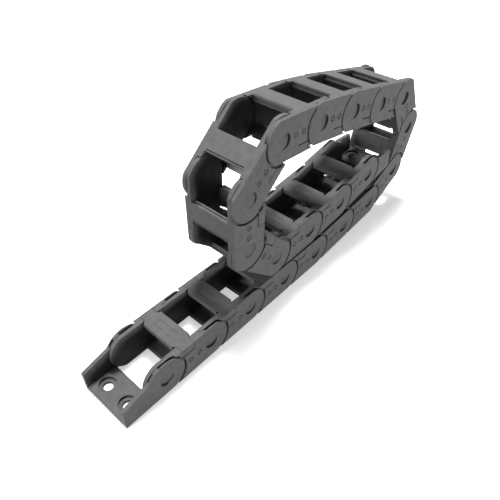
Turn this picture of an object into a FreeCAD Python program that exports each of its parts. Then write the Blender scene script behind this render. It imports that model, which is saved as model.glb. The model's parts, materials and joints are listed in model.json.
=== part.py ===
import FreeCAD, Part
import math
import os

from FreeCAD import Vector

# A small plastic cable drag chain, coiled up as it is sold: a fixed end bracket, nineteen links and a
# moving end bracket. Every link is one moulded frame with a lid that snaps over its inner side.
# Sizes are in millimetres. X runs along the bottom run, Y across the chain, Z up.
# The origin is on the floor, midway between the two screw holes of the fixed bracket.
# A link is drawn lying along X with its rear hinge at the origin and the inner side of the bend up.

# Chain pitch, bend and section
PITCH = 31.0
STOP_ANGLE = 48.0
WIDTH = 33.5
HEIGHT = 22.2
HALF_HEIGHT = HEIGHT / 2

# Side wall, whose outer and inner layers overlap those of the next link at the hinge
OUTER_EAR = 2.2
INNER_EAR = 2.2
EAR_GAP = 0.1
INNER_FACE = OUTER_EAR + EAR_GAP
WALL = INNER_FACE + INNER_EAR

# Round ends of the layers and the hollow shoulders that they turn in
EAR_RADIUS = HALF_HEIGHT + 0.9
INNER_EAR_RADIUS = EAR_RADIUS - 0.1
SHOULDER_RADIUS = EAR_RADIUS + 0.6

# Hinge pin, a boss on the outer ear that turns in a hole of the inner ear
PIN_RADIUS = 5.2
PIN_CLEARANCE = 0.06

# Round recess in the outer end of the pin, with a floor that slants down towards one side
RECESS_RADIUS = 4.15
RECESS_DEEP = 1.7
RECESS_SHALLOW = 0.2
RECESS_DIRECTION = 225.0

# Shallow step that sets the free half of every outer ear back from the wall
TIP_STEP = 0.2

# Bend stop, a lug on the inner ear that runs in an arc pocket of the outer ear
LUG_INNER_RADIUS = EAR_RADIUS - 3.4
LUG_OUTER_RADIUS = EAR_RADIUS - 1.0
LUG_START = 48.25
LUG_ANGLE = 8.5
STOP_PLAY = 0.25
REST_PLAY = 0.75
POCKET_SKIN = 1.0
POCKET_GAP = 0.1

# Fixed crossbar on the outer side of the bend, with a divider groove along both long edges
BAR_WIDTH = 11.8
BAR_START = (PITCH - BAR_WIDTH) / 2
BAR_THICK = 3.3
GROOVE_DEPTH = 0.7
GROOVE_SKIN = 0.9
GROOVE_WIDTH = 1.3

# Snap lid on the inner side of the bend, with a tab over each wall and a pry slit under the tab
LID_THICK = 2.9
LID_FIT = 0.1
TAB_WIDTH = 8.0
TAB_START = (PITCH - TAB_WIDTH) / 2
TAB_THICK = 1.5
TAB_DROP = 4.9
SLIT_HEIGHT = 0.6

# End brackets, measured from the hinge
BRACKET_REACH = 26.9
WALL_END_HEIGHT = 13.0
WALL_SLOPE = 0.265
WALL_FILLET = 5.0
THICK_WALL_REACH = 14.0
FLOOR_THICK = 3.3
FLOOR_START = 9.3
FLOOR_LIP = 1.2
FLOOR_LIP_DROP = 1.2

# Screw holes in the bracket floors, with flat seats for the heads
SCREW_TO_PIVOT = 19.3
SCREW_SPACING = 16.0
SCREW_HOLE = 5.2
SCREW_SEAT = 9.2
SCREW_SEAT_DEPTH = 1.6

# Bend at each hinge of the coil in degrees, from the fixed bracket to the moving one
BENDS = (
    0, 0, 0, 0, 5, 0, 20.2, 48, 48, 46.2,
    0, 3, 4.7, 46.2, 47.9, 47.7, 44.4, 4.4, 5, 0,
)

# How far a solid reaches into its neighbour, or a cut past a face
OVERLAP = 0.5


def point(x, z):
    return Vector(x, 0, z)


def polar(radius, degrees, hinge_x=0.0):
    angle = math.radians(degrees)
    return point(hinge_x + radius * math.cos(angle), radius * math.sin(angle))


def half_chord(radius):
    """Half the chord that the top or bottom edge of a link cuts from a circle round its hinge."""
    return math.sqrt(radius ** 2 - HALF_HEIGHT ** 2)


def line(first, last):
    return Part.makeLine(first, last)


def arc(first, middle, last):
    return Part.Arc(first, middle, last).toShape()


def plate(edges, depth, thickness):
    """Extrude a closed outline inwards, starting at a depth under the near side of the chain."""
    solid = Part.Face(Part.Wire(edges)).extrude(Vector(0, thickness, 0))
    solid.translate(Vector(0, depth - WIDTH / 2, 0))
    return solid


def disc(radius, depth, thickness, hinge_x=0.0):
    start = Vector(hinge_x, depth - WIDTH / 2, 0)
    return Part.makeCylinder(radius, thickness, start, Vector(0, 1, 0))


def block(x, z, depth, length, height, thickness):
    return Part.makeBox(length, thickness, height, Vector(x, depth - WIDTH / 2, z))


def sector(inner, outer, start, end, depth, thickness, hinge_x=0.0):
    """A piece of a ring round a hinge, from one angle to another."""
    middle = (start + end) / 2
    corners = [
        polar(inner, start, hinge_x),
        polar(outer, start, hinge_x),
        polar(outer, end, hinge_x),
        polar(inner, end, hinge_x),
    ]
    edges = [
        line(corners[0], corners[1]),
        arc(corners[1], polar(outer, middle, hinge_x), corners[2]),
        line(corners[2], corners[3]),
        arc(corners[3], polar(inner, middle, hinge_x), corners[0]),
    ]
    return plate(edges, depth, thickness)


def mirrored(solid):
    return solid.mirror(Vector(0, 0, 0), Vector(0, 1, 0))


def end_curve(hinge_x, radius, side):
    """Corners and arc of a layer's end, right or left of the hinge, from the bottom to the top."""
    x = half_chord(radius)
    bottom = point(hinge_x + side * x, -HALF_HEIGHT)
    top = point(hinge_x + side * x, HALF_HEIGHT)
    return bottom, arc(bottom, point(hinge_x + side * radius, 0), top), top


def layer(rear, front, depth, thickness):
    """A plate between two end curves, with a straight top and bottom edge."""
    edges = [rear[1], line(rear[2], front[2]), front[1], line(front[0], rear[0])]
    return plate(Part.sortEdges(edges)[0], depth, thickness)


def recess(hinge_x):
    hollow = disc(RECESS_RADIUS, -OVERLAP, RECESS_DEEP + OVERLAP, hinge_x)
    size = 4 * RECESS_RADIUS
    above = Part.makeBox(size, size, size, Vector(-size / 2, -size, -size / 2))
    slant = math.atan2(RECESS_DEEP - RECESS_SHALLOW, 2 * RECESS_RADIUS)
    above.rotate(Vector(0, 0, 0), Vector(0, 0, 1), math.degrees(slant))
    above.rotate(Vector(0, 0, 0), Vector(0, 1, 0), -RECESS_DIRECTION)
    above.translate(Vector(hinge_x, (RECESS_DEEP + RECESS_SHALLOW - WIDTH) / 2, 0))
    return hollow.common(above)


def finished_outer_ear(side, hinge_x):
    """Give an outer ear its pin with the recess, and the pocket that stops the bend."""
    pocket = sector(
        LUG_INNER_RADIUS - POCKET_GAP, SHOULDER_RADIUS,
        LUG_START - REST_PLAY, LUG_START + LUG_ANGLE + STOP_ANGLE + STOP_PLAY,
        POCKET_SKIN, INNER_FACE - POCKET_SKIN, hinge_x,
    )
    pin = disc(PIN_RADIUS, OUTER_EAR - OVERLAP, WALL - OUTER_EAR + OVERLAP, hinge_x)
    return side.cut(pocket).fuse(pin).cut(recess(hinge_x))


def finished_inner_ear(ear):
    """Give an inner ear its pin hole, and the lug that stops the bend."""
    lug_depth = POCKET_SKIN + POCKET_GAP
    lug = sector(
        LUG_INNER_RADIUS, LUG_OUTER_RADIUS, LUG_START, LUG_START + LUG_ANGLE,
        lug_depth, INNER_FACE - lug_depth + OVERLAP,
    )
    hole = disc(PIN_RADIUS + PIN_CLEARANCE, OUTER_EAR, INNER_EAR + OVERLAP)
    return ear.cut(hole).fuse(lug)


def link_crossbar():
    between = WIDTH - 2 * WALL
    bar = block(
        BAR_START, -HALF_HEIGHT, WALL - OVERLAP, BAR_WIDTH, BAR_THICK, between + 2 * OVERLAP
    )
    grooves = []
    for edge in (BAR_START, BAR_START + BAR_WIDTH):
        grooves.append(
            block(
                edge - GROOVE_DEPTH, GROOVE_SKIN - HALF_HEIGHT, WALL,
                2 * GROOVE_DEPTH, GROOVE_WIDTH, between,
            )
        )
    return bar.cut(grooves)


def lid_seat():
    """What a wall loses for the lid: a notch across its top and a pocket in its outer face."""
    x = TAB_START - LID_FIT
    length = TAB_WIDTH + 2 * LID_FIT
    notch = block(
        x, HALF_HEIGHT - LID_THICK, -OVERLAP, length, LID_THICK + OVERLAP, WALL + 2 * OVERLAP
    )
    drop = TAB_DROP + SLIT_HEIGHT
    pocket = block(
        x, HALF_HEIGHT - drop, -OVERLAP, length, drop + OVERLAP, TAB_THICK + LID_FIT + OVERLAP
    )
    return notch.fuse(pocket)


def link_frame():
    """One moulded link: two side walls and the fixed crossbar between them."""
    rear_shoulder = end_curve(0, SHOULDER_RADIUS, 1)
    front_shoulder = end_curve(PITCH, SHOULDER_RADIUS, -1)
    outer = layer(rear_shoulder, end_curve(PITCH, EAR_RADIUS, 1), 0, OUTER_EAR)
    outer = finished_outer_ear(outer, PITCH)
    inner = layer(end_curve(0, INNER_EAR_RADIUS, -1), front_shoulder, INNER_FACE, INNER_EAR)
    inner = finished_inner_ear(inner)
    middle = layer(rear_shoulder, front_shoulder, 0, WALL)
    tip = block(
        PITCH, -HALF_HEIGHT, -OVERLAP, 2 * EAR_RADIUS, HEIGHT, OVERLAP + TIP_STEP
    )
    side = middle.fuse([outer, inner]).removeSplitter().cut([tip, lid_seat()])
    return side.fuse([mirrored(side), link_crossbar()])


def link_lid():
    """The snap lid of a link: a plate between the walls, and a bridge with a tab over each wall."""
    top = HALF_HEIGHT - LID_THICK
    between = WIDTH - 2 * (WALL + LID_FIT)
    cover = block(BAR_START, top, WALL + LID_FIT, BAR_WIDTH, LID_THICK, between)
    bridge = block(TAB_START, top, 0, TAB_WIDTH, LID_THICK, WIDTH)
    tab = block(TAB_START, HALF_HEIGHT - TAB_DROP, 0, TAB_WIDTH, TAB_DROP, TAB_THICK)
    return cover.fuse([bridge, tab, mirrored(tab)]).removeSplitter()


def slope_frame(side):
    """The free top corner of a bracket wall, the way its top edge climbs and the way up from it."""
    corner = point(side * BRACKET_REACH, WALL_END_HEIGHT - HALF_HEIGHT)
    climb = Vector(-side, 0, WALL_SLOPE).normalize()
    up = Vector(side * climb.z, 0, -side * climb.x)
    return corner, climb, up


def on_slope(side, radius, raised=0.0):
    """Where the sloping top edge, raised by some height, first meets a circle round the hinge."""
    corner, climb, up = slope_frame(side)
    start = corner + up * raised
    return start + climb * (-start.dot(climb) - math.sqrt(radius ** 2 - start.dot(up) ** 2))


def bracket_ear_outline(side, radius):
    """A bracket wall from its free end to the round ear, which its top edge joins in a fillet."""
    corner, climb, up = slope_frame(side)
    centre = on_slope(side, radius + WALL_FILLET, WALL_FILLET)
    low = centre - up * WALL_FILLET
    high = centre * (radius / (radius + WALL_FILLET))
    middle = centre + ((low + high) * 0.5 - centre).normalize() * WALL_FILLET
    ear_bottom = point(-side * half_chord(radius), -HALF_HEIGHT)
    foot = point(side * BRACKET_REACH, -HALF_HEIGHT)
    return [
        line(foot, corner),
        line(corner, low),
        arc(low, middle, high),
        arc(high, point(-side * radius, 0), ear_bottom),
        line(ear_bottom, foot),
    ]


def bracket_shoulder_outline(side):
    """A bracket wall from its free end to the hollow shoulder in front of its inner ear."""
    corner = slope_frame(side)[0]
    top = on_slope(side, SHOULDER_RADIUS)
    bottom = point(side * half_chord(SHOULDER_RADIUS), -HALF_HEIGHT)
    middle = (top + bottom).normalize() * SHOULDER_RADIUS
    foot = point(side * BRACKET_REACH, -HALF_HEIGHT)
    return [line(foot, corner), line(corner, top), arc(top, middle, bottom), line(bottom, foot)]


def floor_slab(side, start, wall, height):
    """Part of a bracket floor, from a distance off the hinge to the free end."""
    x = min(side * start, side * BRACKET_REACH)
    width = WIDTH - 2 * (wall - OVERLAP)
    return block(x, -HALF_HEIGHT, wall - OVERLAP, BRACKET_REACH - start, height, width)


def bracket_floor(side, wall):
    """A bracket floor with a low lip towards the hinge and two screw holes with flat seats."""
    lip = floor_slab(side, FLOOR_START, wall, FLOOR_THICK - FLOOR_LIP_DROP)
    main = floor_slab(side, FLOOR_START + FLOOR_LIP, wall, FLOOR_THICK)
    wide = floor_slab(side, THICK_WALL_REACH, OUTER_EAR, FLOOR_THICK)
    cuts = []
    for y in (-SCREW_SPACING / 2, SCREW_SPACING / 2):
        below = Vector(side * SCREW_TO_PIVOT, y, -HALF_HEIGHT - OVERLAP)
        seat = Vector(side * SCREW_TO_PIVOT, y, FLOOR_THICK - SCREW_SEAT_DEPTH - HALF_HEIGHT)
        cuts.append(Part.makeCylinder(SCREW_HOLE / 2, FLOOR_THICK + 2 * OVERLAP, below))
        cuts.append(Part.makeCylinder(SCREW_SEAT / 2, SCREW_SEAT_DEPTH + OVERLAP, seat))
    return main.fuse([lip, wide]).cut(cuts)


def fixed_bracket():
    """The fixed end bracket: two outer ears on low walls, and a floor."""
    wall = plate(bracket_ear_outline(-1, EAR_RADIUS), 0, OUTER_EAR)
    wall = finished_outer_ear(wall, 0)
    return wall.fuse([mirrored(wall), bracket_floor(-1, OUTER_EAR)]).removeSplitter()


def moving_bracket():
    """The moving end bracket: two inner ears on walls that thin out past the hinge, and a floor."""
    ear = plate(bracket_ear_outline(1, INNER_EAR_RADIUS), INNER_FACE, INNER_EAR)
    ear = finished_inner_ear(ear)
    wall = plate(bracket_shoulder_outline(1), 0, WALL)
    thinning = block(
        THICK_WALL_REACH, -HALF_HEIGHT - OVERLAP, OUTER_EAR,
        BRACKET_REACH, HEIGHT + 2 * OVERLAP, WALL,
    )
    wall = wall.fuse(ear).cut(thinning)
    return wall.fuse([mirrored(wall), bracket_floor(1, WALL)]).removeSplitter()


def save(name, solid, x, z, angle):
    """Turn a piece about its rear hinge, bring that hinge to its place in the coil and export it."""
    placed = solid.copy()
    placed.rotate(Vector(0, 0, 0), Vector(0, 1, 0), -angle)
    placed.translate(Vector(x, 0, z))
    placed.exportStep(os.path.join("parts", name + ".step"))


def main():
    os.makedirs("parts", exist_ok=True)
    frame = link_frame()
    lid = link_lid()
    x = SCREW_TO_PIVOT
    z = HALF_HEIGHT
    angle = 0.0
    save("fixed_end_bracket", fixed_bracket(), x, z, angle)
    for number, bend in enumerate(BENDS[:-1], start=1):
        angle += bend
        save(f"link_{number:02d}_frame", frame, x, z, angle)
        save(f"link_{number:02d}_lid", lid, x, z, angle)
        x += PITCH * math.cos(math.radians(angle))
        z += PITCH * math.sin(math.radians(angle))
    save("moving_end_bracket", moving_bracket(), x, z, angle + BENDS[-1])


main()
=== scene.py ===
import json
import math

import bmesh
import bpy
from mathutils import Matrix, Vector


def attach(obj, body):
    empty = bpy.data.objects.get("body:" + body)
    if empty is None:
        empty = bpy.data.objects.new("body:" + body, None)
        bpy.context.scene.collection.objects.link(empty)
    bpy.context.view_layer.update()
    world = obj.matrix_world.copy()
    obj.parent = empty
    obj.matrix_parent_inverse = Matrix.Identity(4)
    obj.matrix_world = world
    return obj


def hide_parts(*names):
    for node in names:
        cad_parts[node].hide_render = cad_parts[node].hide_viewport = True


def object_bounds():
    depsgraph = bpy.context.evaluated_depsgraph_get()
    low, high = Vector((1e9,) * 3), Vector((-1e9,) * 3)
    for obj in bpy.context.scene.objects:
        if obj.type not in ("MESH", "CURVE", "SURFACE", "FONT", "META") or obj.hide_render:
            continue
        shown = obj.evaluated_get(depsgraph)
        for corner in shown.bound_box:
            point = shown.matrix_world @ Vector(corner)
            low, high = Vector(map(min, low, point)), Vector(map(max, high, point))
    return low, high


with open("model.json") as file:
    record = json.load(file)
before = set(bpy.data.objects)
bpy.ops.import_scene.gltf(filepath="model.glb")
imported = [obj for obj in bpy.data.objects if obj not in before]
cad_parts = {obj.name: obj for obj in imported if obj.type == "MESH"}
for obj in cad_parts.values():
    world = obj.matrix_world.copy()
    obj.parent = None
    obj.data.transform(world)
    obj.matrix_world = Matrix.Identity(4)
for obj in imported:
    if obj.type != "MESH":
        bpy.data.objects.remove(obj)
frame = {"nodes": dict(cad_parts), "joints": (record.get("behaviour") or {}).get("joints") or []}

# The imported model's own box, taken before its pieces are replaced; the lamps aim at its middle
cad_box = [list(corner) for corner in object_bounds()]


# Moulded nylon
# Every piece of the chain is glass-filled nylon, injection moulded in a steel tool with a spark-eroded
# face. The eye sees an even charcoal that never shines, a fine pebble and faint cloudy flow marks.
def linear(code):
    """An sRGB hex colour as the linear colour that a shader takes."""
    channels = [int(code[place:place + 2], 16) / 255 for place in (1, 3, 5)]
    return [c / 12.92 if c <= 0.04045 else ((c + 0.055) / 1.055) ** 2.4 for c in channels] + [1.0]


def add_node(tree, kind, inputs, **settings):
    """Add a node with its settings. Each input gets a value or another node's output."""
    made = tree.nodes.new(kind)
    for setting, value in settings.items():
        setattr(made, setting, value)
    for name, value in inputs.items():
        if isinstance(value, bpy.types.NodeSocket):
            tree.links.new(value, made.inputs[name])
        else:
            made.inputs[name].default_value = value
    return made


MM = 0.001
NYLON_DARK = "#464646"
NYLON_LIGHT = "#5d5d5d"
NYLON_IOR = 1.53
# The pebbled face scatters nearly all of the gloss that its IOR alone would give
NYLON_SPECULAR = 0.07
NYLON_ROUGHNESS = (0.50, 0.62)
FLOW_MARK = 4 * MM
FLOW_DETAIL = 3.0
# The pebble of the tool is about 0.2 mm across, and is drawn at 0.6 mm so that it shows
PEBBLE = 0.6 * MM
PEBBLE_DETAIL = 2.0
PEBBLE_DEPTH = 0.04 * MM


def moulded_nylon(name, dark, light, roughness):
    """Matte nylon with cloudy flow marks in its colour and the tool's pebble in its surface."""
    material = bpy.data.materials.new(name)
    material.use_nodes = True
    tree = material.node_tree
    place = add_node(tree, "ShaderNodeTexCoord", {}).outputs["Object"]
    flow = add_node(
        tree, "ShaderNodeTexNoise", {"Vector": place, "Scale": 1 / FLOW_MARK, "Detail": FLOW_DETAIL}
    )
    pebble = add_node(
        tree, "ShaderNodeTexNoise", {"Vector": place, "Scale": 1 / PEBBLE, "Detail": PEBBLE_DETAIL}
    )
    tint = add_node(
        tree, "ShaderNodeMix",
        {"Factor": flow.outputs["Fac"], "A": linear(dark), "B": linear(light)},
        data_type="RGBA",
    )
    dull = add_node(
        tree, "ShaderNodeMapRange",
        {"Value": pebble.outputs["Fac"], "To Min": roughness[0], "To Max": roughness[1]},
    )
    relief = add_node(
        tree, "ShaderNodeBump",
        {"Height": pebble.outputs["Fac"], "Strength": 1.0, "Distance": PEBBLE_DEPTH},
    )
    shader = tree.nodes["Principled BSDF"]
    shader.inputs["IOR"].default_value = NYLON_IOR
    shader.inputs["Specular IOR Level"].default_value = NYLON_SPECULAR
    tree.links.new(tint.outputs["Result"], shader.inputs["Base Color"])
    tree.links.new(dull.outputs["Result"], shader.inputs["Roughness"])
    tree.links.new(relief.outputs["Normal"], shader.inputs["Normal"])
    return material


nylon = moulded_nylon("glass_filled_nylon_moulded", NYLON_DARK, NYLON_LIGHT, NYLON_ROUGHNESS)


# Link frames
# Each is one nylon moulding, two side walls with a crossbar on the outer side of the bend, and its pins
# snap into the next link. The tool leaves rounded rims, a dark seam groove along each hollow shoulder, a
# fine slot near the crossbar's edge, and two ring marks of its ejectors on each side.
PITCH = 31.0 * MM
SIDE_FACE = 16.75 * MM
TIP_FACE = 16.55 * MM
OUTER_FACE = -11.1 * MM
# Rounds on the outward corners, and how sharp a corner or a crease has to be
RIM_ROUND = 0.4 * MM
CORNER_ROUND = 0.25 * MM
ROUND_SEGMENTS = 3
SHARP_ANGLE = math.radians(32)
CREASE_ANGLE = math.radians(31)
# Where the rounds are wide or left out: radii from a hinge, a height, and a corner along and up the side
EAR_RADIUS = 12.0 * MM
PIN_ZONE = 6.0 * MM
SHOULDER_ARC = 12.85 * MM
SHOULDER_BAND = 0.4 * MM
SHOULDER_POINT = 9.6 * MM
POCKET_CORNER = (11.6 * MM, 6.0 * MM)
POCKET_REACH = 1.35 * MM
SHORT_EDGE = 0.25 * MM
# Seam grooves, ring marks and the slot by the crossbar
SEAM_RADII = (12.5 * MM, 13.15 * MM)
SEAM_DEPTH = 1.8 * MM
SEAM_STEPS = 72
MARK_RADII = (1.0 * MM, 1.5 * MM)
MARK_DEPTH = 0.6 * MM
MARK_STEPS = 24
MARK_PLACES = (16.4 * MM, 22.6 * MM)
MARK_HEIGHT = -0.6 * MM
SLOT_START = 20.3 * MM
SLOT_SIZE = (0.5 * MM, 23.6 * MM, 0.8 * MM)
CUT_PAST = 0.5 * MM
# How near two places have to be to count as one, and how even a face is
FIT = 0.02 * MM
TOUCHING = 0.001 * MM
FLAT_ANGLE = math.radians(0.3)


def joined_faces(node, place):
    """A CAD piece in its own resting frame, as a bmesh with its triangles joined into flat faces."""
    shape = bmesh.new()
    shape.from_mesh(frame["nodes"][node].data)
    bmesh.ops.remove_doubles(shape, verts=shape.verts, dist=TOUCHING)
    bmesh.ops.transform(shape, matrix=place.inverted(), verts=shape.verts)
    bmesh.ops.dissolve_limit(shape, angle_limit=FLAT_ANGLE, verts=shape.verts, edges=shape.edges)
    return shape


def worked(shape, kind, **settings):
    """The shape after one modifier has worked on it."""
    mesh = bpy.data.meshes.new("blank")
    shape.to_mesh(mesh)
    shape.free()
    blank = bpy.data.objects.new("blank", mesh)
    bpy.context.scene.collection.objects.link(blank)
    tool = blank.modifiers.new("tool", kind)
    for name, value in settings.items():
        setattr(tool, name, value)
    graph = bpy.context.evaluated_depsgraph_get()
    finished = bmesh.new()
    finished.from_mesh(blank.evaluated_get(graph).to_mesh())
    bmesh.ops.dissolve_degenerate(finished, dist=TOUCHING, edges=finished.edges)
    bpy.data.objects.remove(blank)
    bpy.data.meshes.remove(mesh)
    return finished


def cut_away(shape, cutter):
    """The shape without what the cutter covers."""
    mesh = bpy.data.meshes.new("cutter")
    cutter.to_mesh(mesh)
    cutter.free()
    made = bpy.data.objects.new("cutter", mesh)
    bpy.context.scene.collection.objects.link(made)
    left = worked(shape, "BOOLEAN", operation="DIFFERENCE", solver="EXACT", object=made)
    bpy.data.objects.remove(made)
    bpy.data.meshes.remove(mesh)
    return left


def add_ring(cutter, radii, x, z, side, depth, steps):
    """Add a ring that cuts a round groove into one side face."""
    start = side * (SIDE_FACE + CUT_PAST)
    end = side * (SIDE_FACE - depth)
    corners = [
        cutter.verts.new((x + radii[0], start, z)),
        cutter.verts.new((x + radii[1], start, z)),
        cutter.verts.new((x + radii[1], end, z)),
        cutter.verts.new((x + radii[0], end, z)),
    ]
    edges = [cutter.edges.new((corners[n], corners[(n + 1) % 4])) for n in range(4)]
    bmesh.ops.spin(
        cutter, geom=corners + edges, cent=(x, 0, z), axis=(0, 1, 0),
        angle=math.tau, steps=steps, use_merge=True,
    )


def add_block(cutter, low, size):
    """Add a block that cuts a slot or a notch."""
    middle = [low[n] + size[n] / 2 for n in range(3)]
    bmesh.ops.create_cube(
        cutter, size=1.0, matrix=Matrix.Translation(middle) @ Matrix.Diagonal((*size, 1.0))
    )


def distances(edge, x, z):
    """How far both ends of an edge are from a line across the chain."""
    return [math.hypot(corner.co.x - x, corner.co.z - z) for corner in edge.verts]


def off_arc(edge, x, radius):
    """How far an edge strays from a round arc about a hinge."""
    return max(abs(distance - radius) for distance in distances(edge, x, 0.0))


def with_rounds(shape, ears=(), shoulders=(), tight=()):
    """The shape with its outward corners rounded, and the rims of its ears most of all.

    The ears and shoulders are given by the hinges that they lie round, and tight corners by their places.
    Tight corners, the pointed ends of the shoulders, pins, pin holes and short edges stay sharp.
    """
    weight = shape.edges.layers.float.new("bevel_weight_edge")
    for edge in shape.edges:
        if not edge.is_manifold or edge.calc_face_angle_signed() < SHARP_ANGLE:
            continue
        if edge.calc_length() < SHORT_EDGE:
            continue
        if any(min(distances(edge, *place)) < POCKET_REACH for place in tight):
            continue
        if any(max(distances(edge, x, 0.0)) < PIN_ZONE for x in (*ears, *shoulders)):
            continue
        width = CORNER_ROUND
        if any(off_arc(edge, x, EAR_RADIUS) < FIT for x in ears):
            width = RIM_ROUND
        pointed = max(abs(corner.co.z) for corner in edge.verts) > SHOULDER_POINT
        if pointed and any(off_arc(edge, x, SHOULDER_ARC) < SHOULDER_BAND for x in shoulders):
            width = 0.0
        edge[weight] = width / RIM_ROUND
    return worked(
        shape, "BEVEL", affect="EDGES", width=RIM_ROUND, segments=ROUND_SEGMENTS, profile=0.5,
        material=-1, limit_method="WEIGHT", use_clamp_overlap=False, loop_slide=True,
    )


def stand_in(node, shape, place, body):
    """Put a finished copy of the shape in the place of a CAD piece."""
    mesh = bpy.data.meshes.new(node + "_finished")
    shape.to_mesh(mesh)
    mesh.transform(place)
    mesh.shade_smooth()
    mesh.set_sharp_from_angle(angle=CREASE_ANGLE)
    mesh.materials.append(nylon)
    made = bpy.data.objects.new(node + "_finished", mesh)
    bpy.context.scene.collection.objects.link(made)
    shading = made.modifiers.new("flat_faces_shaded_flat", "WEIGHTED_NORMAL")
    shading.keep_sharp = True
    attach(made, body)
    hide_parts(node)


hinge_places = [Vector(joint["pos_m"]) for joint in frame["joints"]]
link_places = []
for near, far in zip(hinge_places, hinge_places[1:]):
    heading = math.atan2(far.z - near.z, far.x - near.x)
    link_places.append(Matrix.Translation(near) @ Matrix.Rotation(-heading, 4, "Y"))

blank_frame = joined_faces("link_01_frame", link_places[0])
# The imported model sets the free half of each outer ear 0.2 mm back. Here it lies level with the wall
for corner in blank_frame.verts:
    if corner.co.x > PITCH - FIT and abs(abs(corner.co.y) - TIP_FACE) < TOUCHING:
        corner.co.y = math.copysign(SIDE_FACE, corner.co.y)
bmesh.ops.remove_doubles(blank_frame, verts=blank_frame.verts, dist=TOUCHING)
bmesh.ops.dissolve_limit(
    blank_frame, angle_limit=FLAT_ANGLE, verts=blank_frame.verts, edges=blank_frame.edges
)

marks = bmesh.new()
for side in (-1, 1):
    for x in MARK_PLACES:
        add_ring(marks, MARK_RADII, x, MARK_HEIGHT, side, MARK_DEPTH, MARK_STEPS)
    add_ring(marks, SEAM_RADII, 0.0, 0.0, side, SEAM_DEPTH, SEAM_STEPS)
add_block(
    marks, (SLOT_START, -SLOT_SIZE[1] / 2, OUTER_FACE - CUT_PAST),
    (SLOT_SIZE[0], SLOT_SIZE[1], SLOT_SIZE[2] + CUT_PAST),
)
bmesh.ops.recalc_face_normals(marks, faces=marks.faces)
link_frame = with_rounds(
    cut_away(blank_frame, marks),
    ears=(PITCH,), shoulders=(0.0, PITCH), tight=(POCKET_CORNER,),
)
for number, place in enumerate(link_places, start=1):
    stand_in(f"link_{number:02d}_frame", link_frame, place, f"link_{number:02d}")
link_frame.free()


# Snap lids
# Each is a nylon plate between the walls of its link, with a tab that snaps over each wall. It has a
# notch at each corner of the plate, and the outline of a small bare panel on top.
LID_TOP = 11.1 * MM
LID_MIDDLE = 15.5 * MM
PLATE_HALF = (5.9 * MM, 12.15 * MM)
# Half the size of the block that cuts a notch, and how far its middle lies under the top
NOTCH_HALF = (1.1 * MM, 1.0 * MM, 3.9 * MM)
NOTCH_SUNK = 1.45 * MM
PANEL_SIZE = (4.2 * MM, 14.4 * MM)
PANEL_LINE = 0.3 * MM
PANEL_DEPTH = 0.2 * MM

lid_cuts = bmesh.new()
for along in (-1, 1):
    for across in (-1, 1):
        corner = (along * PLATE_HALF[0] + LID_MIDDLE, across * PLATE_HALF[1], LID_TOP - NOTCH_SUNK)
        low = [corner[n] - NOTCH_HALF[n] for n in range(3)]
        add_block(lid_cuts, low, [2 * half for half in NOTCH_HALF])
panel_place = Matrix.Translation((LID_MIDDLE, 0, LID_TOP - PANEL_DEPTH))
panel = bmesh.ops.create_grid(
    lid_cuts, x_segments=1, y_segments=1, size=0.5,
    matrix=panel_place @ Matrix.Diagonal((*PANEL_SIZE, 1, 1)),
)
area = panel["verts"][0].link_faces[0]
border = bmesh.ops.inset_individual(lid_cuts, faces=[area], thickness=PANEL_LINE)["faces"]
bmesh.ops.delete(lid_cuts, geom=[area], context="FACES")
raised = bmesh.ops.extrude_face_region(lid_cuts, geom=border)["geom"]
bmesh.ops.translate(
    lid_cuts, verts=[part for part in raised if isinstance(part, bmesh.types.BMVert)],
    vec=(0, 0, PANEL_DEPTH + CUT_PAST),
)
bmesh.ops.recalc_face_normals(lid_cuts, faces=lid_cuts.faces)
link_lid = with_rounds(cut_away(joined_faces("link_01_lid", link_places[0]), lid_cuts))
for number, place in enumerate(link_places, start=1):
    stand_in(f"link_{number:02d}_lid", link_lid, place, f"link_{number:02d}")
link_lid.free()


# End brackets
# The fixed one holds the chain's first link between outer ears, and the moving one ends it with inner
# ears. Each is one nylon moulding with a floor that takes two screws, and the fixed one has a slot through
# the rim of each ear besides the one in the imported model.
RIM_SLOT_ANGLE = math.radians(134)
RIM_SLOT_MIDDLE = (11.9 * MM, 15.15 * MM)
RIM_SLOT_SIZE = (2.0 * MM, 1.4 * MM, 4.6 * MM)

rim_slots = bmesh.new()
for side in (-1, 1):
    add_block(
        rim_slots, (
            RIM_SLOT_MIDDLE[0] - RIM_SLOT_SIZE[0] / 2,
            side * RIM_SLOT_MIDDLE[1] - RIM_SLOT_SIZE[1] / 2,
            -RIM_SLOT_SIZE[2] / 2,
        ), RIM_SLOT_SIZE,
    )
bmesh.ops.rotate(
    rim_slots, verts=rim_slots.verts, matrix=Matrix.Rotation(-RIM_SLOT_ANGLE, 3, "Y")
)
fixed_place = Matrix.Translation(hinge_places[0])
fixed_bracket = cut_away(
    with_rounds(joined_faces("fixed_end_bracket", fixed_place), ears=(0.0,)), rim_slots
)
stand_in("fixed_end_bracket", fixed_bracket, fixed_place, "fixed_end")
fixed_bracket.free()

moving_place = Matrix.Translation(hinge_places[-1]) @ link_places[-1].to_3x3().to_4x4()
seams = bmesh.new()
for side in (-1, 1):
    add_ring(seams, SEAM_RADII, 0.0, 0.0, side, SEAM_DEPTH, SEAM_STEPS)
bmesh.ops.recalc_face_normals(seams, faces=seams.faces)
moving_bracket = with_rounds(
    cut_away(joined_faces("moving_end_bracket", moving_place), seams),
    shoulders=(0.0,), tight=(POCKET_CORNER,),
)
stand_in("moving_end_bracket", moving_bracket, moving_place, "moving_end")
moving_bracket.free()


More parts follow.
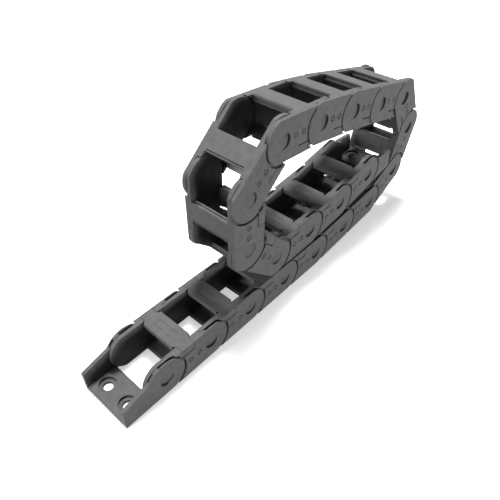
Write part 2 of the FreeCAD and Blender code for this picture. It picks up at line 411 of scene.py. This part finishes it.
# Floor and light
# The chain lies on a seamless sheet of matt white paper, pure white apart from the chain's shadow on it.
# A small lamp almost overhead gives the shadow, and one straight in front lights the near side. One on
# the left, a little behind the chain, lights the crossbars and leaves the inside of the links dark.
FLOOR_SIZE = 1.6
FLOOR_LEVEL = -0.05 * MM
PAPER_WHITE = "#e6e6e6"
PAPER_GLOW = 0.52
# What the chain itself gets back from the paper, so that its inside stays dark
PAPER_BOUNCE = "#404040"
ROOM_WHITE = "#ffffff"
ROOM_LIGHT = 0.02


def seen_directly(tree):
    """1 where the camera sees a thing, also in a mirror or through glass, and 0 where it gives light."""
    rays = add_node(tree, "ShaderNodeLightPath", {}).outputs
    plain = add_node(
        tree, "ShaderNodeMath", {0: rays["Is Camera Ray"], 1: rays["Is Glossy Ray"]}, operation="MAXIMUM"
    )
    either = add_node(
        tree, "ShaderNodeMath",
        {0: plain.outputs["Value"], 1: rays["Is Transmission Ray"]}, operation="MAXIMUM",
    )
    return either.outputs["Value"]


floor_mesh = bpy.data.meshes.new("floor")
floor_shape = bmesh.new()
bmesh.ops.create_grid(floor_shape, x_segments=1, y_segments=1, size=FLOOR_SIZE / 2)
bmesh.ops.translate(floor_shape, verts=floor_shape.verts, vec=(0, 0, FLOOR_LEVEL))
floor_shape.to_mesh(floor_mesh)
floor_shape.free()
floor = bpy.data.objects.new("floor", floor_mesh)
bpy.context.scene.collection.objects.link(floor)

paper = bpy.data.materials.new("white_paper_sheet")
paper.use_nodes = True
tree = paper.node_tree
tree.nodes.clear()
matte = add_node(tree, "ShaderNodeBsdfDiffuse", {"Color": linear(PAPER_WHITE)})
glow = add_node(tree, "ShaderNodeEmission", {"Color": linear(ROOM_WHITE), "Strength": PAPER_GLOW})
lit = add_node(tree, "ShaderNodeAddShader", {0: matte.outputs["BSDF"], 1: glow.outputs["Emission"]})
dim = add_node(tree, "ShaderNodeBsdfDiffuse", {"Color": linear(PAPER_BOUNCE)})
choice = add_node(
    tree, "ShaderNodeMixShader",
    {"Fac": seen_directly(tree), 1: dim.outputs["BSDF"], 2: lit.outputs["Shader"]},
)
add_node(tree, "ShaderNodeOutputMaterial", {"Surface": choice.outputs["Shader"]})
floor_mesh.materials.append(paper)

room = bpy.data.worlds.new("white_room")
bpy.context.scene.world = room
room.use_nodes = True
tree = room.node_tree
tree.nodes.clear()
strength = add_node(
    tree, "ShaderNodeMapRange", {"Value": seen_directly(tree), "To Min": ROOM_LIGHT, "To Max": 1.0}
)
sky = add_node(
    tree, "ShaderNodeBackground",
    {"Color": linear(ROOM_WHITE), "Strength": strength.outputs["Result"]},
)
add_node(tree, "ShaderNodeOutputWorld", {"Surface": sky.outputs["Background"]})


def add_lamp(name, toward, distance, size, power):
    """Add a square soft lamp that shines on the middle of the chain from one direction."""
    lamp = bpy.data.lights.new(name, "AREA")
    lamp.size = size
    lamp.energy = power
    made = bpy.data.objects.new(name, lamp)
    bpy.context.scene.collection.objects.link(made)
    low, high = (Vector(corner) for corner in cad_box)
    direction = Vector(toward).normalized()
    made.location = (low + high) / 2 + direction * distance
    made.rotation_mode = "QUATERNION"
    made.rotation_quaternion = direction.to_track_quat("Z", "Y")


add_lamp("overhead_lamp", toward=(0.17, 0.17, 1.0), distance=0.8, size=0.18, power=13.6)
add_lamp("front_lamp", toward=(-0.1, -1.0, 0.02), distance=1.0, size=0.3, power=13.0)
add_lamp("left_lamp", toward=(-1.0, 0.25, 0.35), distance=1.0, size=0.5, power=9.4)


# Camera
# It stands in front of the fixed bracket, about 0.22 m up, and looks down along the chain. Its place,
# turn and lens were fitted to the outlines of the links in the photograph.
CAMERA_PLACE = (-0.054095, -0.135629, 0.220581)
CAMERA_HEADING = 41.457
CAMERA_TILT = 42.484
CAMERA_ROLL = 0.367
CAMERA_LENS = 34.987
CAMERA_SENSOR = 36.0
CAMERA_CLIP = (0.01, 20.0)

lens = bpy.data.cameras.new("camera")
lens.lens = CAMERA_LENS
lens.sensor_width = CAMERA_SENSOR
lens.clip_start, lens.clip_end = CAMERA_CLIP
camera = bpy.data.objects.new("camera", lens)
bpy.context.scene.collection.objects.link(camera)
camera.matrix_world = (
    Matrix.Translation(CAMERA_PLACE)
    @ Matrix.Rotation(math.radians(CAMERA_HEADING - 90), 4, "Z")
    @ Matrix.Rotation(math.radians(90 - CAMERA_TILT), 4, "X")
    @ Matrix.Rotation(math.radians(CAMERA_ROLL), 4, "Z")
)
bpy.context.scene.camera = camera
bpy.context.scene.view_settings.view_transform = "Standard"
